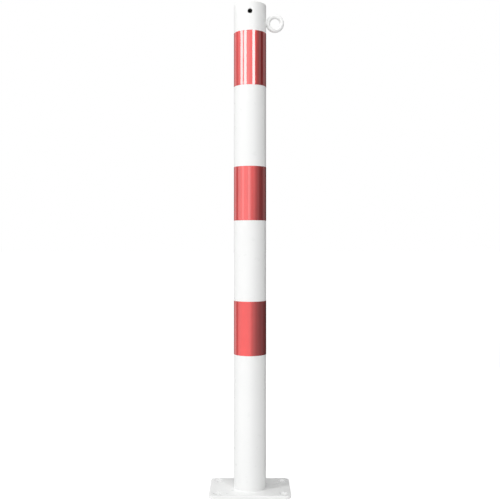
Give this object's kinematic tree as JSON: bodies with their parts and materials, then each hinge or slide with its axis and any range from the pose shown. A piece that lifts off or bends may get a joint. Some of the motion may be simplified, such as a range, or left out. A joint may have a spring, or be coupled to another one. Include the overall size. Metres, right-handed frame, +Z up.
{
  "type": "bolt-down bollard",
  "caption": "Round steel barrier post on a drilled foot plate, with a welded chain eye near the top and red reflective bands.",
  "frame": {"origin": "on the tube's axis, on the underside of the foot plate, at ground level", "axes": "+Z up along the tube; the front with the vent hole faces -Y and the chain eye stands out towards +X"},
  "size_m": [0.15, 0.1, 0.91],
  "materials": {
    "white_coat": "gloss",
    "red_film": "gloss"
  },
  "bodies": {
    "root": {"post_tube": "white_coat", "top_cap": "white_coat", "cap_weld": "white_coat", "base_plate": "white_coat", "base_weld": "white_coat", "chain_eye": "white_coat", "eye_weld_front": "white_coat", "eye_weld_back": "white_coat", "band_top": "red_film", "band_middle": "red_film", "band_bottom": "red_film"}
  },
  "joints": []
}
